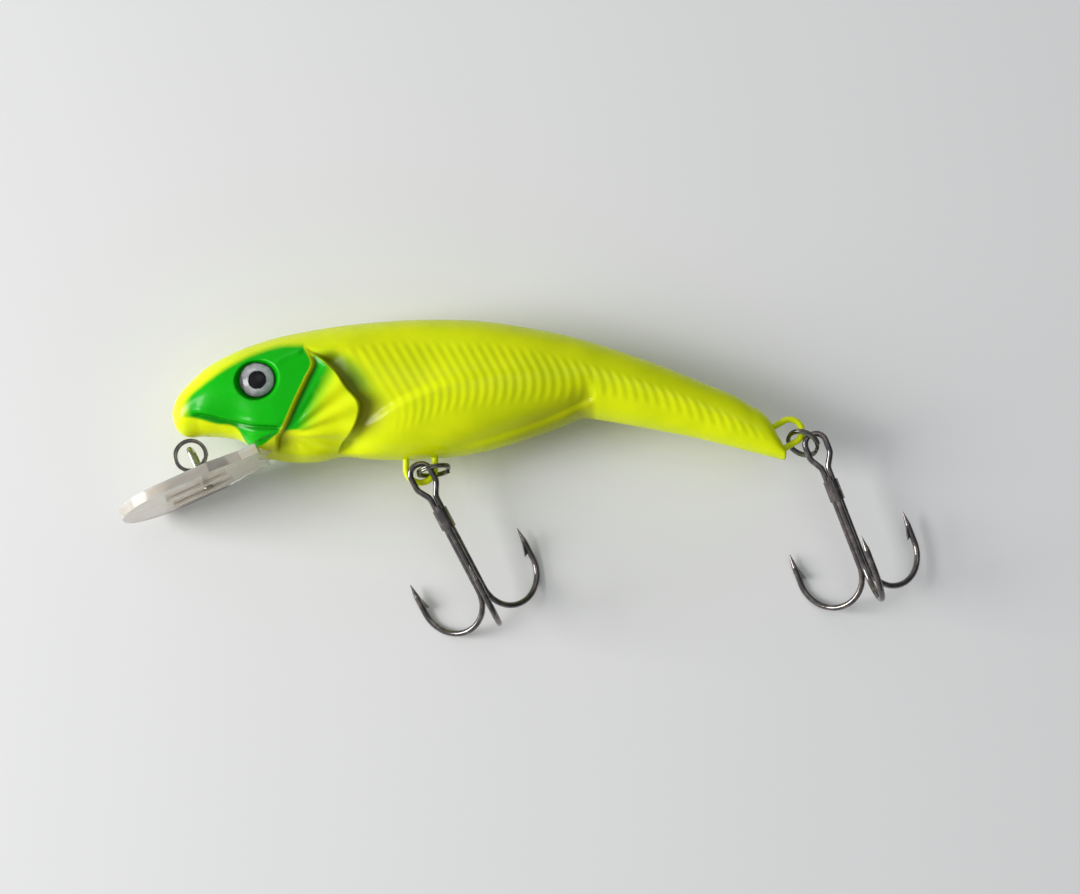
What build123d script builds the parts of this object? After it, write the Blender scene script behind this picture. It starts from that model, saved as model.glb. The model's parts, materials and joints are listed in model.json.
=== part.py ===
from build123d import *
import math
import os

os.makedirs("parts", exist_ok=True)

# A diving fishing lure that lies on its right side. Lengths are millimetres.
# +X runs to the tail, +Y to the back, +Z to the lure's left side, which faces up.
# Points are written from the middle of the body, and everything is moved once, at
# export, so that the origin is under the centre of the whole lure's box.
CENTRE_X = 6.25
CENTRE_Y = -10.8

# Body
BODY_THICKNESS = 15.0
BODY_REACH = 60.0
MID = BODY_THICKNESS / 2
WALL = 1.5
# x, back, belly, half thickness
STATIONS = [
    (-43.7, -0.6, -3.4, 1.5),
    (-42.4, 0.6, -4.7, 2.9),
    (-39.0, 4.3, -5.1, 4.9),
    (-34.0, 7.2, -6.4, 6.1),
    (-29.0, 8.8, -8.5, 6.8),
    (-23.0, 10.1, -8.7, 7.25),
    (-16.0, 11.1, -8.3, 7.45),
    (-8.0, 11.6, -8.3, 7.5),
    (0.0, 11.4, -7.4, 7.3),
    (7.0, 10.4, -5.5, 6.5),
    (12.0, 9.4, -3.5, 5.6),
    (16.0, 8.3, -2.6, 5.0),
    (23.0, 6.0, -3.8, 4.4),
    (31.0, 2.8, -5.4, 3.7),
    (38.0, -0.5, -7.2, 3.1),
    (41.0, -2.8, -8.3, 2.6),
    (43.3, -6.9, -8.6, 1.5),
]
# Hollows inside the two halves: x from, x to, y from, y to, half width
HOLLOWS = [
    (-34.0, -26.5, -0.5, 9.0, 3.0),
    (-21.5, -3.5, 5.6, 10.5, 7.0),
    (3.5, 12.5, -3.5, 9.5, 7.0),
    (16.8, 30.0, -4.5, 6.5, 5.0),
]
PIN_PLACES = [(-24.0, 5.0), (0.5, 6.5), (14.6, 3.5), (34.5, -2.2)]
PIN_RADIUS = 0.8
PIN_LENGTH = 2.0
PIN_ROOM = 0.2

# Rattle
RATTLE_X = -21.2
RATTLE_Y = 2.0
RATTLE_LENGTH = 18.2
RATTLE_RADIUS = 2.3
BALL_RADIUS = 2.1
BALL_GAP = 0.05
BALL_END_GAP = 0.1

# Weights: x from, x to, y, radius
BELLY_WEIGHTS = {
    "belly_weight_front": (-20.5, -13.5, -3.8, 2.2),
    "belly_weight_rear": (-3.4, 1.6, -3.6, 2.0),
}
NOSE_WEIGHT_PLACE = (-37.6, -0.6)
NOSE_WEIGHT_RADIUS = 1.8
NOSE_WEIGHT_LENGTH = 5.0

# Eyes
EYE_X = -30.9
EYE_Y = 2.0
EYE_RADIUS = 2.5
SOCKET_RADIUS = 3.2
SOCKET_FLOOR = 4.9
FOIL_THICKNESS = 0.3
DOME_HEIGHT = 1.15

# Lip
LIP_ANGLE = 25.0
LIP_ROOT = (-32.0, -8.3)
LIP_LENGTH = 20.0
LIP_WIDTH = 15.0
LIP_ROOT_WIDTH = 11.5
LIP_TIP_RADIUS = 7.0
LIP_BURY = 1.5
LIP_NECK = 1.0
LIP_SHOULDER = 5.5
LIP_THICKNESS = 1.4
TANG_LENGTH = 8.0
TANG_WIDTH = 5.0
RAIL_WIDTH = 1.0
RAIL_HEIGHT = 0.5
RAIL_SPACING = 5.0
RAIL_START = 4.0

# Bent wire
WIRE_RADIUS = 0.45
TIE_WIRE_RADIUS = 0.4
TIE_PLACE = 7.55
TIE_HEIGHT = 4.5
TIE_HALF_WIDTH = 1.5
TIE_CORNER = 0.95
CLINCH_RADIUS = 0.75
CLINCH_HEIGHT = 0.3
BELLY_LOOP = (-8.35, -9.7)
BELLY_LOOP_RADIUS = 2.05
BELLY_LEG = 4.6
TAIL_LOOP = (43.9, -4.4)
TAIL_LOOP_RADIUS = 1.7
TAIL_LOOP_ANGLE = 30.0
FOOT_LENGTH = 2.0
FOOT_CORNER = 0.9
CORNER_SLACK = 0.01
# In the tail loop's own frame: where each leg turns, and where it ends in the body
TAIL_LOWER_TURN = -2.6
TAIL_LOWER_END = (-5.7, 2.2)
TAIL_UPPER_TURN = -2.2
TAIL_UPPER_END = (-4.3, 5.0)

# Split rings
RING_OUTER = 2.42
RING_INNER = 1.88
RING_HEIGHT = 0.95
RING_EDGE = 0.12
LINE_RING_DROP = 0.75
BELLY_RING_CENTRE = (-6.44, -10.21, 8.56)
BELLY_RING_AXIS = (0.182, -0.977, 0.108)
TAIL_RING_CENTRE = (45.71, -6.06, 7.23)
TAIL_RING_AXIS = (-0.426, -0.745, 0.514)

# Treble hooks
HOOK_WIRE = 0.42
HOOK_SPREAD = 0.5
EYE_LOOP_LENGTH = 1.75
EYE_LOOP_WIDTH = 1.5
EYE_SHOULDER = 1.5
EYE_NECK = 3.3
EYE_CORNER = 1.6
EYE_END_CORNER = 1.45
ARM_START = 4.6
BEND_START = 17.9
GAPE = 10.0
POINT_START = 15.3
POINT_TIP = 13.2
POINT_END_RADIUS = 0.05
# Barb: its root along the wire, how deep it sits in the wire, and its raised corner
BARB_ROOT = (14.7, 16.9)
BARB_DEPTH = 0.15
BARB_BACK = 17.3
BARB_LIFT = 1.05
BARB_HALF = 0.14
BRAZE_START = 5.2
BRAZE_LENGTH = 3.0
BRAZE_RADIUS = 1.06
BRAZE_CORE = 1.35
ARM_TURN = 120
# Eye centre, heading, slope and roll of each treble hook at rest on the table
BELLY_HOOK = ((-8.04, -11.03, 8.9), -62.0, 11.2, 0.0)
TAIL_HOOK = ((47.55, -6.59, 8.04), -69.0, 6.4, 5.0)


def body_loft(stations, inset):
    sections = []
    for x, back, belly, half in stations:
        plane = Plane(
            origin=(x, (back + belly) / 2, MID), x_dir=(0, 1, 0), z_dir=(1, 0, 0)
        )
        sections.append(plane * Ellipse((back - belly) / 2 - inset, half - inset))
    return loft(sections)


def block(x0, x1, y0, y1, z0, z1):
    return Pos((x0 + x1) / 2, (y0 + y1) / 2, (z0 + z1) / 2) * Box(
        x1 - x0, y1 - y0, z1 - z0
    )


def rod_along_x(x0, x1, y, z, radius):
    return Pos((x0 + x1) / 2, y, z) * Rot(0, 90, 0) * Cylinder(radius, x1 - x0)


def upright(x, y, z0, z1, radius):
    return Pos(x, y, (z0 + z1) / 2) * Cylinder(radius, z1 - z0)


def tube(path, radius):
    start = Plane(origin=path @ 0, z_dir=path % 0)
    return sweep(start * Circle(radius), path=path)


# Lip: its own plane runs from the root towards the tip, with the lure's left as +Y
def lip_plane():
    angle = math.radians(LIP_ANGLE)
    return Plane(
        origin=(LIP_ROOT[0], LIP_ROOT[1], MID),
        x_dir=(-math.cos(angle), -math.sin(angle), 0),
        z_dir=(-math.sin(angle), math.cos(angle), 0),
    )


def diving_lip():
    half = LIP_WIDTH / 2
    root = LIP_ROOT_WIDTH / 2
    straight = LIP_LENGTH - LIP_TIP_RADIUS
    side = Polyline(
        (-LIP_BURY, -root), (LIP_NECK, -root), (LIP_SHOULDER, -half), (straight, -half)
    )
    tip = ThreePointArc((straight, -half), (LIP_LENGTH, 0), (straight, half))
    close = Line((-LIP_BURY, root), (-LIP_BURY, -root))
    tongue = make_face(side + tip + mirror(side, Plane.XZ) + close)
    tang = Pos(-TANG_LENGTH / 2, 0) * Rectangle(TANG_LENGTH, TANG_WIDTH)
    plate = extrude(tongue + tang, amount=LIP_THICKNESS / 2, both=True)
    rail_length = straight - RAIL_START
    rail_middle = RAIL_START + rail_length / 2
    rail_level = -LIP_THICKNESS / 2 - RAIL_HEIGHT / 2
    for rail_side in (-RAIL_SPACING / 2, RAIL_SPACING / 2):
        place = Pos(rail_middle, rail_side, rail_level)
        plate += place * Box(rail_length, RAIL_WIDTH, RAIL_HEIGHT)
    return lip_plane() * plate - line_tie_eye()


def line_tie_eye():
    low = -LIP_THICKNESS / 2 - CLINCH_HEIGHT
    top = LIP_THICKNESS / 2 + TIE_HEIGHT - TIE_WIRE_RADIUS
    half = TIE_HALF_WIDTH
    path = FilletPolyline(
        (TIE_PLACE, -half, low),
        (TIE_PLACE, -half, top),
        (TIE_PLACE, half, top),
        (TIE_PLACE, half, low),
        radius=TIE_CORNER,
    )
    staple = tube(path, TIE_WIRE_RADIUS)
    for side in (-half, half):
        head = Pos(TIE_PLACE, side, low + CLINCH_HEIGHT / 2)
        staple += head * Cylinder(CLINCH_RADIUS, CLINCH_HEIGHT)
    return lip_plane() * staple


def tie_bar():
    top = LIP_THICKNESS / 2 + TIE_HEIGHT - TIE_WIRE_RADIUS
    return lip_plane().from_local_coords(Vector(TIE_PLACE, 0, top))


# A wire loop that opens along its own +X; its legs turn at lower and upper
def wire_hanger(centre, angle, radius, ends, turns):
    nearly = radius - CORNER_SLACK
    path = FilletPolyline(
        (*ends[0], 0),
        (turns[0], -radius, 0),
        (radius, -radius, 0),
        (radius, radius, 0),
        (turns[1], radius, 0),
        (*ends[1], 0),
        radius=[FOOT_CORNER, nearly, nearly, FOOT_CORNER],
    )
    place = Pos(centre[0], centre[1], MID) * Rot(0, 0, angle)
    return place * tube(path, WIRE_RADIUS)


def belly_hanger():
    foot = BELLY_LOOP_RADIUS + FOOT_LENGTH
    ends = ((-BELLY_LEG, -foot), (-BELLY_LEG, foot))
    return wire_hanger(BELLY_LOOP, -90, BELLY_LOOP_RADIUS, ends, (-BELLY_LEG, -BELLY_LEG))


def tail_hanger():
    ends = (TAIL_LOWER_END, TAIL_UPPER_END)
    turns = (TAIL_LOWER_TURN, TAIL_UPPER_TURN)
    return wire_hanger(TAIL_LOOP, TAIL_LOOP_ANGLE, TAIL_LOOP_RADIUS, ends, turns)


def split_ring(centre, axis):
    ring = Cylinder(RING_OUTER, RING_HEIGHT) - Cylinder(RING_INNER, RING_HEIGHT)
    ring = fillet(ring.edges(), RING_EDGE)
    return Plane(origin=centre, z_dir=axis) * ring


# A treble hook lies along its own +X from the centre of its eye; its single hook
# stands towards +Z, and the two hooks of the bent double wire stand to either side.
def hook_arm(turn):
    shank = Line((ARM_START, HOOK_SPREAD), (BEND_START, HOOK_SPREAD))
    bend_radius = (GAPE - HOOK_SPREAD) / 2
    bend = ThreePointArc(
        (BEND_START, HOOK_SPREAD),
        (BEND_START + bend_radius, HOOK_SPREAD + bend_radius),
        (BEND_START, GAPE),
    )
    spear = Line((BEND_START, GAPE), (POINT_START, GAPE))
    path = Wire([shank.edge(), bend.edge(), spear.edge()])
    arm = tube(path, HOOK_WIRE)
    point_length = POINT_START - POINT_TIP
    point = Pos(POINT_START - point_length / 2, GAPE, 0) * Rot(0, -90, 0)
    arm += point * Cone(HOOK_WIRE, POINT_END_RADIUS, point_length)
    foot = GAPE - BARB_DEPTH
    corners = [(BARB_ROOT[0], foot), (BARB_BACK, GAPE - BARB_LIFT), (BARB_ROOT[1], foot)]
    barb = make_face(Polyline(*corners, close=True))
    arm += extrude(barb, amount=BARB_HALF, both=True)
    return Rot(turn, 0, 0) * arm


def hook_eye():
    side = HOOK_SPREAD * math.sin(math.radians(ARM_TURN))
    drop = HOOK_SPREAD * math.cos(math.radians(ARM_TURN))
    wide = EYE_LOOP_WIDTH
    path = FilletPolyline(
        (ARM_START, -side, drop),
        (EYE_NECK, -side, drop),
        (EYE_SHOULDER, -wide, drop),
        (-EYE_LOOP_LENGTH, -wide, drop),
        (-EYE_LOOP_LENGTH, wide, drop),
        (EYE_SHOULDER, wide, drop),
        (EYE_NECK, side, drop),
        (ARM_START, side, drop),
        radius=[EYE_CORNER, EYE_CORNER, EYE_END_CORNER, EYE_END_CORNER, EYE_CORNER, EYE_CORNER],
    )
    return tube(path, HOOK_WIRE)


def braze_collar():
    section = Circle(BRAZE_RADIUS) - RegularPolygon(HOOK_SPREAD * BRAZE_CORE, 3, rotation=90)
    for turn in (-ARM_TURN, 0, ARM_TURN):
        section -= Rot(0, 0, 90 + turn) * Pos(HOOK_SPREAD, 0) * Circle(HOOK_WIRE)
    return Pos(BRAZE_START, 0, 0) * extrude(Plane.YZ * section, amount=BRAZE_LENGTH)


def treble(prefix, place):
    double = hook_arm(90 + ARM_TURN) + hook_eye() + hook_arm(90 - ARM_TURN)
    return {
        f"{prefix}_double_hook": place * double,
        f"{prefix}_single_hook": place * hook_arm(90),
        f"{prefix}_braze": place * braze_collar(),
    }


def hook_place(centre, heading, slope, roll):
    turned, fall = math.radians(heading), math.radians(slope)
    along = (
        math.cos(turned) * math.cos(fall),
        math.sin(turned) * math.cos(fall),
        -math.sin(fall),
    )
    up = (
        math.cos(turned) * math.sin(fall),
        math.sin(turned) * math.sin(fall),
        math.cos(fall),
    )
    return Plane(origin=centre, x_dir=along, z_dir=up).location * Rot(roll, 0, 0)


def eye(side):
    floor = MID + side * SOCKET_FLOOR
    ball = (EYE_RADIUS**2 + DOME_HEIGHT**2) / (2 * DOME_HEIGHT)
    foil_top = SOCKET_FLOOR + FOIL_THICKNESS
    foil = Pos(EYE_X, EYE_Y, floor + side * FOIL_THICKNESS / 2) * Cylinder(
        EYE_RADIUS, FOIL_THICKNESS
    )
    sphere = Pos(EYE_X, EYE_Y, MID + side * (foil_top + DOME_HEIGHT - ball)) * Sphere(ball)
    low = MID + side * foil_top
    high = low + side * ball
    keep = block(
        EYE_X - ball, EYE_X + ball, EYE_Y - ball, EYE_Y + ball, min(low, high), max(low, high)
    )
    return foil, sphere & keep


def rattle_bore():
    return rod_along_x(RATTLE_X, RATTLE_X + RATTLE_LENGTH, RATTLE_Y, MID, RATTLE_RADIUS)


def weights():
    made = {
        name: rod_along_x(x0, x1, y, MID, radius)
        for name, (x0, x1, y, radius) in BELLY_WEIGHTS.items()
    }
    half = NOSE_WEIGHT_LENGTH / 2
    made["nose_weight"] = upright(*NOSE_WEIGHT_PLACE, MID - half, MID + half, NOSE_WEIGHT_RADIUS)
    return made


def hollow_body(held):
    body = body_loft(STATIONS, 0)
    inside = body_loft(STATIONS[3:-3], WALL)
    for x0, x1, y0, y1, half in HOLLOWS:
        body -= inside & block(x0, x1, y0, y1, MID - half, MID + half)
    body -= rattle_bore()
    for side in (-1, 1):
        floor = MID + side * SOCKET_FLOOR
        top = MID + side * BODY_THICKNESS
        body -= upright(EYE_X, EYE_Y, min(floor, top), max(floor, top), SOCKET_RADIUS)
    for piece in held:
        body -= piece
    return body


def half_shells(held):
    body = hollow_body(held)
    reach = BODY_REACH
    upper = body & block(-reach, reach, -reach, reach, MID, MID + reach)
    lower = body & block(-reach, reach, -reach, reach, MID - reach, MID)
    for x, y in PIN_PLACES:
        lower += upright(x, y, MID - PIN_LENGTH, MID + PIN_LENGTH, PIN_RADIUS)
        upper -= upright(x, y, MID, MID + PIN_LENGTH + PIN_ROOM, PIN_RADIUS)
    return {
        "shell_left": max(upper.solids(), key=lambda piece: piece.volume),
        "shell_right": max(lower.solids(), key=lambda piece: piece.volume),
    }


def rattle_balls():
    made = {}
    for number, name in enumerate(["front", "middle", "rear"]):
        x = RATTLE_X + BALL_END_GAP + BALL_RADIUS + number * (2 * BALL_RADIUS + BALL_GAP)
        made[f"rattle_ball_{name}"] = Pos(x, RATTLE_Y, MID) * Sphere(BALL_RADIUS)
    return made


def build():
    pieces = {}
    pieces["diving_lip"] = diving_lip()
    pieces["line_tie_eye"] = line_tie_eye()
    pieces["belly_hanger"] = belly_hanger()
    pieces["tail_hanger"] = tail_hanger()
    pieces.update(weights())
    pieces.update(half_shells(list(pieces.values())))
    for name, side in (("left", 1), ("right", -1)):
        foil, dome = eye(side)
        pieces[f"eye_foil_{name}"] = foil
        pieces[f"eye_dome_{name}"] = dome
    pieces.update(rattle_balls())
    bar = tie_bar()
    pieces["line_ring"] = split_ring((bar.X, bar.Y - LINE_RING_DROP, MID), (0, 0, 1))
    pieces["belly_ring"] = split_ring(BELLY_RING_CENTRE, BELLY_RING_AXIS)
    pieces["tail_ring"] = split_ring(TAIL_RING_CENTRE, TAIL_RING_AXIS)
    pieces.update(treble("belly", hook_place(*BELLY_HOOK)))
    pieces.update(treble("tail", hook_place(*TAIL_HOOK)))
    return pieces


def main():
    placed = Pos(-CENTRE_X, -CENTRE_Y, 0)
    for name, piece in build().items():
        export_step(placed * piece, f"parts/{name}.step")


main()
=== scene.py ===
import json
import math
import bmesh
import bpy
import numpy as np
from mathutils import Matrix, Vector


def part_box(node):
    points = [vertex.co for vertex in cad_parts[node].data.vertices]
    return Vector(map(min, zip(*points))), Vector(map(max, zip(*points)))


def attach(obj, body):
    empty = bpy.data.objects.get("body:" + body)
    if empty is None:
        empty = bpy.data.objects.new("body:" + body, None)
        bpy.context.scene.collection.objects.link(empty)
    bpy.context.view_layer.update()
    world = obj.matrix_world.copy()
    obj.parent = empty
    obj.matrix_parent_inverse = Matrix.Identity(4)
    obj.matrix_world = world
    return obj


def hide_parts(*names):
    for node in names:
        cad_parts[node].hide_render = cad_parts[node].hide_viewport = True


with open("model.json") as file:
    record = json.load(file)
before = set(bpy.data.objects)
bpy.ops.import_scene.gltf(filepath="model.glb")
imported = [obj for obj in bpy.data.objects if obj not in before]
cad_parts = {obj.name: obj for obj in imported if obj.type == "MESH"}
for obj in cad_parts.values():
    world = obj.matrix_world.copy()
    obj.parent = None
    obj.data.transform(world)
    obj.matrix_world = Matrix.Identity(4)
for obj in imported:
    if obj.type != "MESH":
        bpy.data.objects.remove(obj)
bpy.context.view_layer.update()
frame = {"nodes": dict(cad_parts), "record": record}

mm = 0.001
scene = bpy.context.scene
nodes = frame["nodes"]

# Lure coordinates are millimetres: x to the tail, y to the back, z out of the left side,
# from the middle of the body on its seam plane.
bodyReach = {"nose": -43.7, "back": 11.63}
shellLow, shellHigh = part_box("shell_left")
lureOrigin = Vector((shellLow.x - bodyReach["nose"] * mm, shellHigh.y - bodyReach["back"] * mm, shellLow.z))
lureToWorld = Matrix.Translation(lureOrigin) @ Matrix.Scale(mm, 4)

# The camera is nearly straight above, leaning to the belly side. Width is what it sees across at the aim.
view = {"distance": 240, "tilt": 9, "aim": (8.5, -6.65, 0), "width": 152.7, "sensor": 36, "nearest": 5}


def makeCamera():
    tilt = math.radians(view["tilt"])
    aim = lureToWorld @ Vector(view["aim"])
    data = bpy.data.cameras.new("camera")
    data.sensor_width = view["sensor"]
    data.lens = view["sensor"] * view["distance"] / view["width"]
    data.clip_start = view["nearest"] * mm
    camera = bpy.data.objects.new("camera", data)
    camera.location = aim + Vector((0, -math.sin(tilt), math.cos(tilt))) * view["distance"] * mm
    camera.rotation_euler = (tilt, 0, 0)
    scene.collection.objects.link(camera)
    scene.camera = camera


# metres and watts: a window low on the nose side, and a sky that dims towards the tail
studio = {
    "window": {"place": (-0.62, -0.04, 0.31), "size": (0.32, 0.42), "power": 5.2, "colour": (1, 0.99, 0.97)},
    "fill": {"place": (0.1, 0.2, 0.8), "size": (0.5, 0.5), "power": 0.5, "colour": (0.95, 0.97, 1)},
    "skyBright": (0.56, 0.57, 0.58), "skyDim": (0.10, 0.11, 0.12), "skyFade": (-0.7, 0.8),
}


def areaLight(name):
    look = studio[name]
    data = bpy.data.lights.new(name, "AREA")
    data.shape = "RECTANGLE"
    data.size, data.size_y = look["size"]
    data.energy = look["power"]
    data.color = look["colour"]
    light = bpy.data.objects.new(name, data)
    light.location = look["place"]
    light.rotation_euler = (lureOrigin - Vector(look["place"])).to_track_quat("-Z", "Y").to_euler()
    scene.collection.objects.link(light)


def makeStudio():
    areaLight("window")
    areaLight("fill")
    world = bpy.data.worlds.new("studio")
    scene.world = world
    world.use_nodes = True
    tree = world.node_tree
    direction = addNode(tree, "TexCoord").outputs["Generated"]
    sideways = addNode(tree, "SeparateXYZ", {"Vector": direction}).outputs["X"]
    sky = mixColours(tree, remap(tree, sideways, *studio["skyFade"]), studio["skyBright"], studio["skyDim"])
    tree.links.new(sky, tree.nodes["Background"].inputs["Color"])
    scene.view_settings.view_transform = "Standard"


def newMaterial(name, colour, roughness, **sockets):
    material = bpy.data.materials.new(name)
    material.use_nodes = True
    shader = material.node_tree.nodes["Principled BSDF"]
    shader.inputs["Base Color"].default_value = (*colour, 1)
    shader.inputs["Roughness"].default_value = roughness
    for socket, value in sockets.items():
        shader.inputs[socket.replace("_", " ")].default_value = value
    return material, material.node_tree, shader


def addNode(tree, kind, inputs=None, **settings):
    # an input's value is a number, a colour, or the socket of another node
    node = tree.nodes.new("ShaderNode" + kind)
    for name, value in settings.items():
        setattr(node, name, value)
    for name, value in (inputs or {}).items():
        if isinstance(value, bpy.types.NodeSocket):
            tree.links.new(value, node.inputs[name])
        else:
            node.inputs[name].default_value = value
    return node


def objectPoint(tree, place=(0, 0, 0), turn=(0, 0, 0), scale=(1, 1, 1)):
    spot = addNode(tree, "TexCoord").outputs["Object"]
    return addNode(
        tree, "Mapping", {"Vector": spot, "Location": place, "Rotation": turn, "Scale": scale},
        vector_type="TEXTURE",
    ).outputs["Vector"]


def mixColours(tree, factor, first, second, blend="MIX"):
    mix = addNode(tree, "Mix", data_type="RGBA", blend_type=blend)
    for socket, value in ((mix.inputs[0], factor), (mix.inputs[6], first), (mix.inputs[7], second)):
        if isinstance(value, bpy.types.NodeSocket):
            tree.links.new(value, socket)
        else:
            socket.default_value = (*value, 1) if isinstance(value, tuple) else value
    return mix.outputs[2]


def noise(tree, point, scale, detail):
    return addNode(tree, "TexNoise", {"Vector": point, "Scale": scale, "Detail": detail}).outputs["Fac"]


def remap(tree, value, low, high, newLow=0, newHigh=1):
    return addNode(
        tree, "MapRange",
        {"Value": value, "From Min": low, "From Max": high, "To Min": newLow, "To Max": newHigh},
    ).outputs["Result"]


def attribute(tree, name):
    return addNode(tree, "Attribute", attribute_name=name).outputs["Fac"]


def addBump(tree, shader, height, strength, distance):
    bump = addNode(tree, "Bump", {"Height": height, "Strength": strength, "Distance": distance})
    tree.links.new(bump.outputs["Normal"], shader.inputs["Normal"])


def finishPiece(bm, name, material, body, replaced):
    print(name, len(bm.verts), "points, open edges", sum(1 for edge in bm.edges if not edge.is_manifold))
    mesh = bpy.data.meshes.new(name)
    bm.to_mesh(mesh)
    bm.free()
    mesh.materials.append(material)
    mesh.shade_smooth()
    piece = bpy.data.objects.new(name, mesh)
    scene.collection.objects.link(piece)
    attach(piece, body)
    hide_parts(*replaced)


# The plain body, by x: the heights of the back and the belly, and half the thickness.
outline = {
    "back": [
        (-43.7, -1.9), (-43.1, 0.2), (-42.4, 1.0), (-41, 2.5), (-39, 4.4), (-36.8, 5.8), (-34, 7.2),
        (-29.5, 8.8), (-24, 10.0), (-16, 11.1), (-8, 11.6), (0, 11.4), (7, 10.4), (12, 9.4),
        (16, 8.3), (23, 6.0), (31, 2.8), (38, -0.5), (41, -2.9), (42.3, -5.4), (43.3, -7.2),
    ],
    "belly": [
        (-43.7, -1.9), (-43.2, -4.0), (-42.4, -4.75), (-39, -5.1), (-36, -5.3), (-33.5, -5.9), (-31, -7.9),
        (-29, -8.5), (-23, -8.75), (-19, -8.0), (-16, -8.3), (-8, -8.35), (0, -7.4), (7, -5.4),
        (12, -3.6), (14.6, -2.5), (17, -2.75), (23, -3.8), (31, -5.4), (38, -7.2), (43.3, -8.6),
    ],
    "half": [
        (-43.7, 1.5), (-42.4, 3.1), (-39, 4.9), (-34, 6.1), (-29, 6.8), (-23, 7.25), (-16, 7.45),
        (-8, 7.5), (0, 7.3), (7, 6.5), (12, 5.6), (16, 5.0), (23, 4.4), (31, 3.7), (38, 3.1),
        (41, 2.6), (43.3, 1.5),
    ],
}
skin = {
    "rows": 500, "columns": 168, "weld": 0.004,
    "noseCap": 1.6, "tailCap": 0.35, "boxiness": 0.92, "thinnest": 0.2,
    "seamDepth": 0.05, "seamWidth": 0.16, "seamLap": 0.01,
    "reliefFromSeam": (0.02, 0.3), "reliefFromNose": (-43.2, -41.5),
}
inside = {
    "rows": 90, "columns": 24, "front": -38.0, "length": 76.0, "squareness": 8,
    "wall": 1.6, "sideWall": 4.0, "leastHalf": 0.6,
}
eyeSocket = {"centre": (-30.9, 2.0), "floor": 4.87, "hole": 2.56, "flare": 2.6}

# Curves on the flank are drawn on the seam plane and carried up to the surface
# along lines that meet at this point.
eyePoint = (8.5, -44.2, 237)

# Cover and cheek give x by y. The nape, where both end at the top, gives y by x.
gill = {
    "cover": [
        (-8.6, -20.6), (-6.8, -19.7), (-5.2, -18.7), (-2.5, -17.5), (-0.3, -17.4), (2.0, -19.2),
        (4.8, -21.2), (6.5, -23.2), (7.6, -25),
    ],
    "cheek": [(-5.5, -28.9), (-3.7, -28.0), (0.15, -26.4), (3.3, -25.0), (5.6, -24.1), (7.5, -25.0)],
    "nape": [(-31, 8.6), (-27.6, 8.4), (-25, 7.9), (-22.5, 7.6), (-20, 8.4), (-16, 9.2)],
    "napeFade": (-0.1, 1.6), "bottomFade": (-7.9, -6.9),
    "coverStep": 0.85, "coverRise": 0.8, "cheekFade": (-0.05, 0.75), "coverFade": (0, 0.45),
    "foldHeight": -5.2, "foldFade": (0, 1.3), "foldDepth": 0.35,
    "recessDepth": 1.45, "recessRun": 3.9, "recessFloor": 0.05,
}
fan = {
    "centre": (-27.9, -5.6), "turn": 27, "pitch": 19, "height": 0.14,
    "behindCheek": (0.8, 2.5), "fromCentre": (1.0, 6.0),
}
brow = {
    "line": [(-29.2, 5.6), (-25.6, 7.1)], "height": 0.16, "width": 0.4,
    "front": (-30, -28.5), "back": (25.2, 26),
}
mouth = {
    "line": [(-41.5, -2.0), (-39.2, -2.3), (-35.4, -3.25), (-31.8, -3.9), (-28.6, -4.0)],
    "depth": 0.5, "width": 0.36, "rollHeight": 0.12, "rollWidth": 0.4, "rollOver": 0.8,
    "front": (-41.2, -39.5), "back": (27.6, 28.8),
}
throat = {
    "corner": (-29.4, -4.4), "lean": -1.7, "cornerFade": (0, 1.1), "top": -4.2, "topFade": (0, 1.0),
    "back": (24, 27.5), "depth": 0.3,
}
flank = {
    "ridge": [
        (-18.7, -5.4), (-14.8, -2.5), (-12.1, -0.5), (-8.1, 1.6), (-4.2, 3.1), (-0.3, 3.8), (10.2, 4.5),
        (15.8, 3.9), (24, 1.5), (40, -5),
    ],
    "ridgeDrop": [(-19, 0), (-14, 0.35), (-8, 0.6), (0, 0.4), (8, 0.16), (14, 0.0), (44, 0)],
    "ridgeSoft": 0.9,
    "backBand": [
        (-20.5, 7.8), (-15.6, 9.0), (-5.7, 9.3), (4.9, 8.5), (10.2, 7.3), (19.5, 4.7), (31.1, 0.5),
        (39.6, -3.7), (43, -6),
    ],
    "bandSoft": 1.5,
    "crease": [(-10, -7.9), (-5, -7.0), (0, -5.9), (5.7, -4.2), (11.3, -1.9), (16.2, 0.6)],
    "creaseDepth": 0.5, "creaseAbove": 2.2, "creaseBelow": 0.55,
    "creaseFront": (-6, 4), "creaseBack": (15.3, 16.6),
    "gillFade": (0, 0.6),
}
ribs = {
    "pitch": 1.38, "height": 0.055, "alongRidge": 0.3, "leanOver": 0.5,
    "leanUnder": -0.36, "bendUnder": 0.085,
    "under": 4.5, "underFade": (-5.6, -3.2), "underFront": (-15, -7), "bandFade": (0, 1.4),
    "tailBand": [(14, 0.9), (16.3, 0.4), (24, -1.1), (32.7, -4.1), (39.6, -6.2), (43, -7.6)],
    "tailBandFade": (0, 1.2), "tailStart": (14.8, 16.8), "tailEnd": (39, 41.5), "gillFade": (2.5, 6.5),
}


def curve(points, at):
    # a smooth curve through the points, flat past its ends
    xs, ys = np.array(points, float).T
    slope = np.gradient(ys, xs)
    k = np.clip(np.searchsorted(xs, at) - 1, 0, len(xs) - 2)
    gap = xs[k + 1] - xs[k]
    t = np.clip((at - xs[k]) / gap, 0, 1)
    return (
        (2 * t**3 - 3 * t**2 + 1) * ys[k] + (t**3 - 2 * t**2 + t) * gap * slope[k]
        + (3 * t**2 - 2 * t**3) * ys[k + 1] + (t**3 - t**2) * gap * slope[k + 1]
    )


def ease(value, low, high):
    t = np.clip((value - low) / (high - low), 0, 1)
    return t * t * (3 - 2 * t)


def hump(value, width):
    return np.exp(-((value / width) ** 2))


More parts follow.
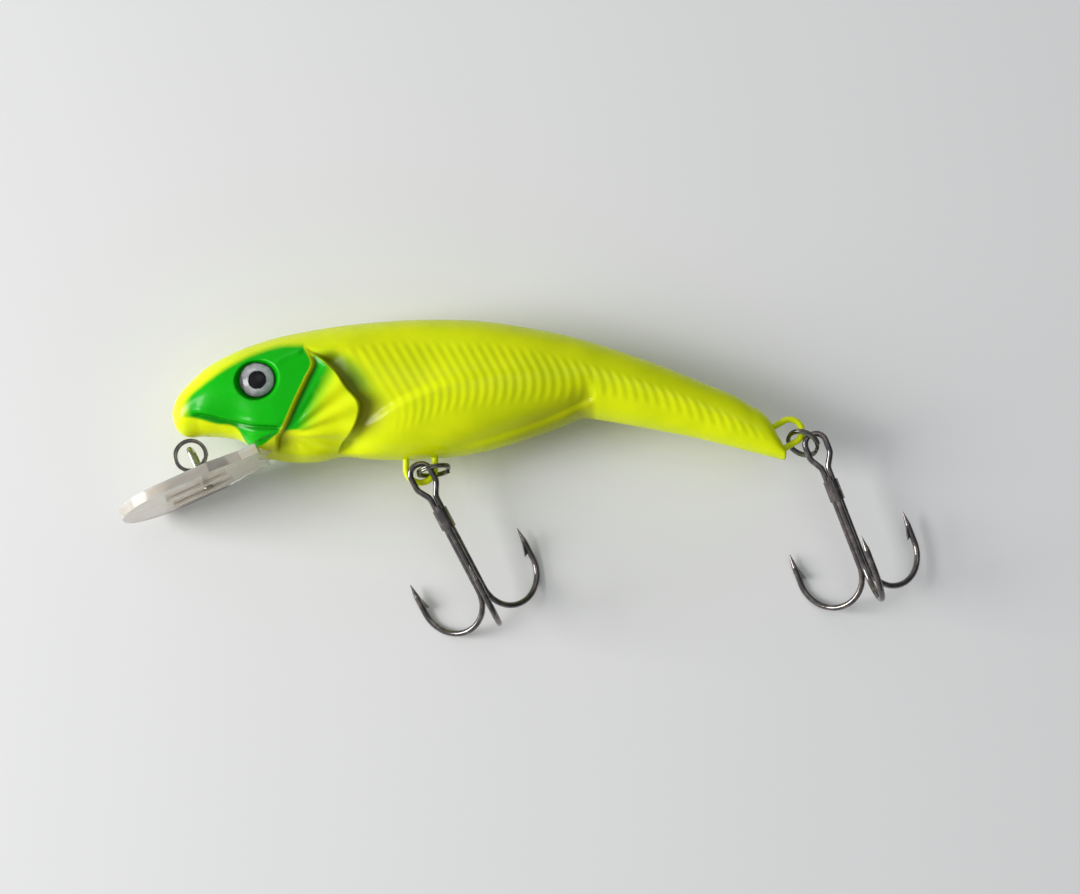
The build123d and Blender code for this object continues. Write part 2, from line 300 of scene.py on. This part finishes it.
def drawnAt(x, y, z):
    ex, ey, ez = eyePoint
    spread = ez / (ez - z)
    return ex + (x - ex) * spread, ey + (y - ey) * spread


def behind(edge, x, y):
    return x - curve(gill[edge], y)


def throatHollow(x, y):
    # between the jaw corner and the gill cover
    cornerX, cornerY = throat["corner"]
    front = ease(x - cornerX + (y - cornerY) * throat["lean"], *throat["cornerFade"])
    return front * ease(throat["top"] - y, *throat["topFade"]) * ease(-x, *throat["back"])


def gillRelief(x, y):
    behindCheek, behindCover = behind("cheek", x, y), behind("cover", x, y)
    span = np.maximum(behindCheek - behindCover, 1)
    cover = -gill["coverStep"] + gill["coverRise"] * np.clip(behindCheek / span, 0, 1)
    fromFanX, fromFanY = x - fan["centre"][0], y - fan["centre"][1]
    angle = np.degrees(np.arctan2(fromFanY, fromFanX)) - fan["turn"]
    ray = fan["height"] * np.cos(np.radians(angle * 360 / fan["pitch"]))
    fanShare = ease(behindCheek, *fan["behindCheek"]) * ease(np.hypot(fromFanX, fromFanY), *fan["fromCentre"])
    cover += ray * fanShare
    cover -= gill["foldDepth"] * ease(gill["foldHeight"] - y, *gill["foldFade"])
    height = cover * ease(behindCheek, *gill["cheekFade"])
    recess = -gill["recessDepth"] * hump(np.maximum(behindCover, 0), gill["recessRun"]) - gill["recessFloor"]
    height += (recess - height) * ease(behindCover, *gill["coverFade"])
    return height * ease(curve(gill["nape"], x) - y, *gill["napeFade"]) * ease(y, *gill["bottomFade"])


def headRelief(x, y):
    height = gillRelief(x, y)
    browRun = ease(x, *brow["front"]) * ease(-x, *brow["back"])
    height += brow["height"] * hump(y - curve(brow["line"], x), brow["width"]) * browRun
    overMouth = y - curve(mouth["line"], x)
    mouthRun = ease(x, *mouth["front"]) * ease(-x, *mouth["back"])
    roll = mouth["rollHeight"] * hump(overMouth - mouth["rollOver"], mouth["rollWidth"])
    height += (roll - mouth["depth"] * hump(overMouth, mouth["width"])) * mouthRun
    return height - throat["depth"] * throatHollow(x, y)


def ribRelief(x, y):
    ridge, band = curve(flank["ridge"], x), curve(flank["backBand"], x)
    over = y - ridge
    below = np.clip(-over, 0, ribs["under"])
    leanUnder = ribs["bendUnder"] * below**2 + ribs["leanUnder"] * below
    along = x + ribs["alongRidge"] * ridge + np.where(over > 0, ribs["leanOver"] * over, leanUnder)
    height = ribs["height"] * (1 + np.cos(2 * np.pi * along / ribs["pitch"])) / 2
    onBody = np.where(over > 0, 1, ease(over, *ribs["underFade"]) * ease(x, *ribs["underFront"]))
    onTail = ease(y - curve(ribs["tailBand"], x), *ribs["tailBandFade"])
    tailShare = ease(x, *ribs["tailStart"])
    region = (onBody * (1 - tailShare) + onTail * tailShare) * ease(band - y, *ribs["bandFade"])
    return height * region * ease(behind("cover", x, y), *ribs["gillFade"]) * (1 - ease(x, *ribs["tailEnd"]))


def flankRelief(x, y):
    over, overBand = y - curve(flank["ridge"], x), y - curve(flank["backBand"], x)
    ridgeSoft, bandSoft = flank["ridgeSoft"], flank["bandSoft"]
    hollow = curve(flank["ridgeDrop"], x) * ease(over, -ridgeSoft, ridgeSoft)
    height = -hollow * (1 - ease(overBand, -bandSoft, bandSoft))
    overCrease = y - curve(flank["crease"], x)
    above, under = hump(overCrease, flank["creaseAbove"]), hump(overCrease, flank["creaseBelow"])
    fold = np.where(overCrease > 0, above, under) * ease(x, *flank["creaseFront"])
    height -= flank["creaseDepth"] * fold * (1 - ease(x, *flank["creaseBack"]))
    return (height + ribRelief(x, y)) * ease(behind("cover", x, y), *flank["gillFade"])


def outlineAt(x):
    return (curve(outline[key], x) for key in ("back", "belly", "half"))


def bodySurface(u, v):
    noseX, tailX = outline["back"][0][0], outline["back"][-1][0]
    noseCap, tailCap = skin["noseCap"], skin["tailCap"]
    s = u * (tailX - noseX)
    x = noseX + np.where(s < noseCap, noseCap * (1 - np.cos(np.clip(s / noseCap, 0, 1) * np.pi / 2)), s)
    back, belly, half = outlineAt(x)
    nose = np.sqrt(np.clip(1 - (1 - np.clip((x - noseX) / noseCap, 0, 1)) ** 2, 0, 1))
    tail = np.sqrt(np.clip(1 - np.clip((x - tailX + tailCap) / tailCap, 0, 1) ** 2, 0, 1))
    deep = (back - belly) / 2 * tail * nose
    wide = half * nose * tail
    upward, outward = -np.cos(v * np.pi), np.sin(v * np.pi)
    y = (back + belly) / 2 + deep * upward
    z = wide * outward ** skin["boxiness"]
    drawn = drawnAt(x, y, z)
    reliefShare = ease(outward, *skin["reliefFromSeam"]) * ease(x, *skin["reliefFromNose"])
    height = (headRelief(*drawn) + flankRelief(*drawn)) * reliefShare
    height -= skin["seamDepth"] * hump(z, skin["seamWidth"]) * nose * tail
    ny, nz = upward / np.maximum(deep, skin["thinnest"]), outward / np.maximum(wide, skin["thinnest"])
    size = np.hypot(ny, nz) + 1e-9        # never zero, so it can divide
    y, z = y + height * ny / size, z + height * nz / size
    reach = np.hypot(x - eyeSocket["centre"][0], y - eyeSocket["centre"][1])
    socket = eyeSocket["floor"] + np.maximum(reach - eyeSocket["hole"], 0) * eyeSocket["flare"]
    return x, y, np.maximum(np.minimum(z, socket), 0)


def innerSurface(u, v):
    x = inside["front"] + inside["length"] * u
    back, belly, half = outlineAt(x)
    shut = np.sqrt(np.clip(1 - (2 * u - 1) ** inside["squareness"], 0, 1))
    y = (back + belly) / 2 - ((back - belly) / 2 - inside["wall"]) * np.cos(v * np.pi) * shut
    z = np.maximum(half - inside["sideWall"], inside["leastHalf"]) * np.sin(v * np.pi) * shut
    return x, y, z


spray = {
    "backLine": [
        (-43, -0.9), (-42, 0.2), (-39.6, 2.4), (-36.1, 5.0), (-32.5, 6.9), (-29, 8.1), (-25.5, 8.3),
        (-20, 8.0),
    ],
    "jawLine": [
        (-43, -2.4), (-41, -2.4), (-37.5, -3.3), (-34.2, -4.2), (-32.6, -6.6), (-30.8, -6.4), (-29, -5.0),
        (-27.7, -4.4), (-24, -4.2),
    ],
    "backFade": (-0.4, 0.9), "jawFade": (-0.25, 0.25), "noseFade": (-43, -40.6), "coverFade": (-0.4, 0),
    "bareStart": (-0.25, 0.0), "bareEnd": (0.45, 0.75), "cheekRim": 0.4, "fadeBehindCheek": (1.4, 5.5),
    "haze": 0.5, "hazeBehind": 2.4, "hazeWidth": 2.0,
    "hazeBottom": (-2, 3), "hazeTop": 8.5, "hazeTopFade": (0, 3),
    "yellow": (0.70, 0.83, 0.0), "yellowPale": (0.78, 0.89, 0.0),
    "green": (0.0, 0.42, 0.0), "greenPale": (0.0, 0.48, 0.0),
}
# painted shade: how strongly the olive shade is painted into each groove and recess, and where it starts and
# ends
paintedShade = {
    "olive": (0.17, 0.115, 0.0), "napeFade": (0, 1.5), "bottomFade": (-8, -6.5),
    "cheek": 0.7, "cheekBehind": 0.55, "cheekWidth": 0.3, "cheekTop": 6.9, "cheekTopFade": (0, 0.8),
    "recess": 0.72, "recessBehind": 1.2, "recessRun": 2.8,
    "recessFront": (-0.1, 0.25), "recessBottom": (-6.5, -2.5),
    "mouth": 0.5, "mouthWidth": 0.4, "mouthFront": (-41, -39), "mouthBack": (27.6, 29),
    "crease": 0.4, "creaseWidth": 1.8, "creaseFront": (0, 8),
    "creaseBack": (15.5, 16.8), "creaseBottom": (-8, -5),
    "throat": 0.3,
}
paintLook = {
    "roughness": 0.3, "specular": 0.15, "coat": 0.15, "coatRoughness": 0.1,
    "mottle": 260, "speckle": 900, "polish": 500, "polishRange": (0.24, 0.36),
    "grain": 1400, "grainDepth": 0.00003,
}


def greenSpray(x, y):
    behindCheek, behindCover = behind("cheek", x, y), behind("cover", x, y)
    green = ease(curve(spray["backLine"], x) - y, *spray["backFade"])
    green *= ease(y - curve(spray["jawLine"], x), *spray["jawFade"]) * ease(x, *spray["noseFade"])
    bare = ease(behindCheek, *spray["bareStart"]) * (1 - ease(behindCheek, *spray["bareEnd"]))
    fade = np.where(behindCheek < spray["cheekRim"], 1, 1 - ease(behindCheek, *spray["fadeBehindCheek"]))
    green *= fade * (1 - bare) * (1 - ease(behindCover, *spray["coverFade"]))
    haze = spray["haze"] * hump(behindCover - spray["hazeBehind"], spray["hazeWidth"])
    haze *= ease(y, *spray["hazeBottom"]) * ease(spray["hazeTop"] - y, *spray["hazeTopFade"])
    return np.clip(np.maximum(green, haze), 0, 1)


# painted shade in the cheek bevel, the gill recess, the mouth groove, the belly crease and the throat
def grooveShade(x, y):
    behindCheek, behindCover = behind("cheek", x, y), behind("cover", x, y)
    onHead = ease(curve(gill["nape"], x) - y, *paintedShade["napeFade"]) * ease(y, *paintedShade["bottomFade"])
    cheek = paintedShade["cheek"] * hump(behindCheek - paintedShade["cheekBehind"], paintedShade["cheekWidth"]) * onHead
    cheek *= ease(paintedShade["cheekTop"] - y, *paintedShade["cheekTopFade"])
    overRecess = np.maximum(behindCover - paintedShade["recessBehind"], 0)
    recess = paintedShade["recess"] * hump(overRecess, paintedShade["recessRun"]) * onHead
    recess *= ease(behindCover, *paintedShade["recessFront"]) * ease(y, *paintedShade["recessBottom"])
    lips = paintedShade["mouth"] * hump(y - curve(mouth["line"], x), paintedShade["mouthWidth"])
    lips *= ease(x, *paintedShade["mouthFront"]) * ease(-x, *paintedShade["mouthBack"])
    overCrease = np.maximum(y - curve(flank["crease"], x), 0)
    crease = paintedShade["crease"] * hump(overCrease, paintedShade["creaseWidth"]) * ease(x, *paintedShade["creaseFront"])
    crease *= (1 - ease(x, *paintedShade["creaseBack"])) * ease(y, *paintedShade["creaseBottom"])
    return np.maximum.reduce([cheek, recess, lips, crease, paintedShade["throat"] * throatHollow(x, y)])


def gridPoints(bm, look):
    return bmesh.ops.create_grid(bm, x_segments=look["rows"], y_segments=look["columns"], size=0.5)["verts"]


def moveAll(verts, side, surface):
    places = np.array([vert.co for vert in verts]) + 0.5
    x, y, z = surface(places[:, 0], places[:, 1])
    for vert, px, py, pz in zip(verts, x, y, z):
        vert.co = (px, py, side * (pz - skin["seamLap"]))
    return drawnAt(x, y, z)


def makeHalf(name, node, side, material):
    bm = bmesh.new()
    outer = gridPoints(bm, skin)
    drawn = moveAll(outer, side, bodySurface)
    for label, mask in (("green", greenSpray(*drawn)), ("shade", grooveShade(*drawn))):
        layer = bm.verts.layers.float.new(label)
        for vert, amount in zip(bm.verts, mask):
            vert[layer] = amount
    moveAll(gridPoints(bm, inside), side, innerSurface)
    bmesh.ops.remove_doubles(bm, verts=bm.verts, dist=skin["weld"])
    rim = [edge for edge in bm.edges if edge.is_boundary]
    bmesh.ops.triangle_fill(bm, use_beauty=True, edges=rim)
    bmesh.ops.recalc_face_normals(bm, faces=bm.faces)
    bmesh.ops.transform(bm, matrix=lureToWorld, verts=bm.verts)
    finishPiece(bm, name, material, "lure", [node])


def bodyPaint():
    look = paintLook
    material, tree, shader = newMaterial(
        "bodyPaint", spray["yellow"], look["roughness"],
        Coat_Weight=look["coat"], Coat_Roughness=look["coatRoughness"], Specular_IOR_Level=look["specular"],
    )
    point = objectPoint(tree)
    mottle = noise(tree, point, look["mottle"], 4)
    yellow = mixColours(tree, remap(tree, mottle, 0.35, 0.65), spray["yellow"], spray["yellowPale"])
    leaf = mixColours(tree, remap(tree, mottle, 0.3, 0.7), spray["green"], spray["greenPale"])
    speckle = remap(tree, noise(tree, point, look["speckle"], 2), 0.2, 0.8, 1.0, 1.15)
    amount = addNode(
        tree, "Math", {0: attribute(tree, "green"), 1: speckle}, operation="MULTIPLY", use_clamp=True
    ).outputs[0]
    sprayed = mixColours(tree, amount, yellow, leaf)
    # painted shade: the paint is darkened towards olive wherever the shade attribute is set
    darker = mixColours(tree, 1.0, sprayed, paintedShade["olive"], "MULTIPLY")
    shaded = mixColours(tree, attribute(tree, "shade"), sprayed, darker)
    tree.links.new(shaded, shader.inputs["Base Color"])
    polish = remap(tree, noise(tree, point, look["polish"], 3), 0.3, 0.7, *look["polishRange"])
    tree.links.new(polish, shader.inputs["Roughness"])
    addBump(tree, shader, noise(tree, point, look["grain"], 2), 0.12, look["grainDepth"])
    return material


# The streaks run along the lip, which stands at this angle to the body.
lipLook = {
    "angle": 25, "streak": 0.08, "streakScale": 110, "streakDepth": 0.0002, "polishRange": (0.06, 0.24),
    "clear": (1.0, 0.97, 0.91), "cloudy": (0.95, 0.85, 0.74), "roughness": 0.12, "through": 0.66, "ior": 1.46,
}


def clearPlastic():
    look = lipLook
    material, tree, shader = newMaterial(
        "clearPlastic", look["clear"], look["roughness"], Transmission_Weight=look["through"], IOR=look["ior"]
    )
    angle = math.radians(look["angle"])
    point = objectPoint(tree, turn=(0, 0, angle), scale=(1, look["streak"], look["streak"]))
    streaks = noise(tree, point, look["streakScale"], 4)
    cloudy = remap(tree, streaks, 0.45, 0.62)
    tree.links.new(mixColours(tree, cloudy, look["clear"], look["cloudy"]), shader.inputs["Base Color"])
    tree.links.new(remap(tree, streaks, 0.3, 0.7, *look["polishRange"]), shader.inputs["Roughness"])
    addBump(tree, shader, streaks, 0.4, look["streakDepth"])
    return material


platings = {
    "blackNickel": {"colour": (0.15, 0.14, 0.14), "wear": (0.34, 0.29, 0.26), "roughness": 0.13},
    "ringNickel": {"colour": (0.13, 0.13, 0.12), "wear": (0.3, 0.27, 0.2), "roughness": 0.16},
    "tieWire": {"colour": (0.42, 0.42, 0.36), "wear": (0.3, 0.3, 0.22), "roughness": 0.22},
    "castLead": {"colour": (0.3, 0.3, 0.33), "wear": (0.42, 0.42, 0.44), "roughness": 0.5},
    "ballSteel": {"colour": (0.6, 0.6, 0.62), "wear": (0.5, 0.5, 0.5), "roughness": 0.12},
}


def plated(name):
    look = platings[name]
    roughness = look["roughness"]
    material, tree, shader = newMaterial(name, look["colour"], roughness, Metallic=1.0)
    point = objectPoint(tree)
    worn = remap(tree, noise(tree, point, 900, 4), 0.45, 0.75)
    tree.links.new(mixColours(tree, worn, look["colour"], look["wear"]), shader.inputs["Base Color"])
    polish = remap(tree, noise(tree, point, 2500, 2), 0.3, 0.7, roughness * 0.7, roughness * 1.5)
    tree.links.new(polish, shader.inputs["Roughness"])
    addBump(tree, shader, noise(tree, point, 3000, 2), 0.15, 0.00002)
    return material


# radii in mm from the middle of the eye, which both foils share
eyeLook = {
    "pupil": 1.3, "pupilSoft": 0.06, "rimStart": 2.27, "rimEnd": 2.47, "wobble": 0.12,
    "silver": (1.0, 1.0, 1.0), "silverDim": (0.66, 0.67, 0.7),
    "black": (0.003, 0.003, 0.004), "rimColour": (0.06, 0.08, 0.06), "shine": 0.3,
}
domeLook = {"roughness": 0.03, "ior": 1.36}


def eyeFoil():
    look = eyeLook
    material, tree, shader = newMaterial(
        "eyeFoil", look["silver"], 0.35, Metallic=look["shine"], Specular_IOR_Level=0.1
    )
    low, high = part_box("eye_foil_left")
    centre = (low + high) / 2
    point = objectPoint(tree, (centre.x, centre.y, 0), scale=(mm, mm, 1))
    radius = addNode(tree, "VectorMath", {0: point}, operation="LENGTH").outputs["Value"]
    wobble = remap(tree, noise(tree, point, 1.5, 2), 0, 1, -look["wobble"], look["wobble"])
    edge = addNode(tree, "Math", {0: radius, 1: wobble}, operation="ADD").outputs[0]
    pupil = remap(tree, edge, look["pupil"] - look["pupilSoft"], look["pupil"] + look["pupilSoft"], 1, 0)
    rim = remap(tree, edge, look["rimStart"], look["rimEnd"])
    sheen = remap(tree, noise(tree, point, 1.1, 3), 0.35, 0.65)
    silver = mixColours(tree, sheen, look["silver"], look["silverDim"])
    shaded = mixColours(tree, rim, silver, look["rimColour"])
    tree.links.new(mixColours(tree, pupil, shaded, look["black"]), shader.inputs["Base Color"])
    tree.links.new(remap(tree, pupil, 0, 1, look["shine"], 0), shader.inputs["Metallic"])
    return material


def clearDome():
    # clear but for its gloss, so the pupil stays black
    material, tree, gloss = newMaterial("clearDome", (1, 1, 1), domeLook["roughness"], Metallic=1.0)
    addBump(tree, gloss, noise(tree, objectPoint(tree), 1500, 1), 0.05, 0.00002)
    through = addNode(tree, "BsdfTransparent")
    fresnel = addNode(tree, "Fresnel", {"IOR": domeLook["ior"]})
    mix = addNode(tree, "MixShader", {0: fresnel.outputs[0], 1: through.outputs[0], 2: gloss.outputs[0]})
    tree.links.new(mix.outputs[0], tree.nodes["Material Output"].inputs["Surface"])
    return material


# Each split ring is two turns of flattened wire that lie on each other. Sizes are mm.
splitRing = {
    "inner": 1.88, "outer": 2.42, "height": 0.95, "turns": 1.96, "steps": 150, "round": 0.1,
    "axes": {
        "line_ring": (0, 0, 1), "belly_ring": (0.182, -0.977, 0.108), "tail_ring": (-0.426, -0.745, 0.514),
    },
}


def makeSplitRing(node, material):
    coil = splitRing
    turnHeight = coil["height"] / (coil["turns"] + 1)
    bm = bmesh.new()
    bmesh.ops.create_grid(bm, x_segments=1, y_segments=1, size=0.5)
    bmesh.ops.scale(bm, vec=(coil["outer"] - coil["inner"], turnHeight, 1), verts=bm.verts)
    bmesh.ops.bevel(
        bm, geom=list(bm.verts), offset=coil["round"], segments=3, profile=0.5, affect="VERTICES", material=-1
    )
    bmesh.ops.rotate(bm, matrix=Matrix.Rotation(math.pi / 2, 3, "X"), verts=bm.verts)
    middle = (coil["inner"] + coil["outer"]) / 2
    bmesh.ops.translate(bm, vec=(middle, 0, (turnHeight - coil["height"]) / 2), verts=bm.verts)
    rise = (coil["height"] - turnHeight) / coil["steps"]
    bmesh.ops.spin(
        bm, geom=list(bm.faces), cent=(0, 0, 0), axis=(0, 0, 1), dvec=(0, 0, rise),
        angle=coil["turns"] * 2 * math.pi, steps=coil["steps"], use_duplicate=False,
    )
    bmesh.ops.recalc_face_normals(bm, faces=bm.faces)
    low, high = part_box(node)
    turn = Vector((0, 0, 1)).rotation_difference(Vector(coil["axes"][node])).to_matrix().to_4x4()
    place = Matrix.Translation((low + high) / 2) @ turn @ Matrix.Scale(mm, 4)
    bmesh.ops.transform(bm, matrix=place, verts=bm.verts)
    finishPiece(bm, node.replace("_ring", "SplitRing"), material, node, [node])


def dressNodes(paint, ringPlate):
    hookPlate = plated("blackNickel")
    finishes = {
        "painted_body": paint, "painted_wire": paint, "clear_lip": clearPlastic(),
        "eye_foil": eyeFoil(), "eye_dome": clearDome(),
        "black_nickel": hookPlate, "braze": hookPlate, "ring_steel": ringPlate,
        "steel_wire": plated("tieWire"), "lead": plated("castLead"), "ball_steel": plated("ballSteel"),
    }
    for part in frame["record"]["subparts"]:
        node = nodes[part["node"]]
        node.data.materials.clear()
        node.data.materials.append(finishes[part["material_slot"]])


tableLook = {
    "size": 1.5, "roughness": 0.5, "cloud": 3, "colour": (0.79, 0.79, 0.79), "pale": (0.83, 0.83, 0.83),
}


def makeTable():
    bm = bmesh.new()
    bmesh.ops.create_grid(bm, x_segments=2, y_segments=2, size=tableLook["size"])
    mesh = bpy.data.meshes.new("table")
    bm.to_mesh(mesh)
    bm.free()
    material, tree, shader = newMaterial("tableTop", tableLook["colour"], tableLook["roughness"])
    cloud = noise(tree, objectPoint(tree), tableLook["cloud"], 2)
    clouded = mixColours(tree, cloud, tableLook["colour"], tableLook["pale"])
    tree.links.new(clouded, shader.inputs["Base Color"])
    mesh.materials.append(material)
    table = bpy.data.objects.new("table", mesh)
    scene.collection.objects.link(table)


makeCamera()
makeStudio()
makeTable()
print("camera, light and table set")

paint = bodyPaint()
ringPlate = plated("ringNickel")
dressNodes(paint, ringPlate)
print("frame dressed")

for node in splitRing["axes"]:
    makeSplitRing(node, ringPlate)
print("split rings made")

makeHalf("bodyLeft", "shell_left", 1, paint)
makeHalf("bodyRight", "shell_right", -1, paint)
print("body made")
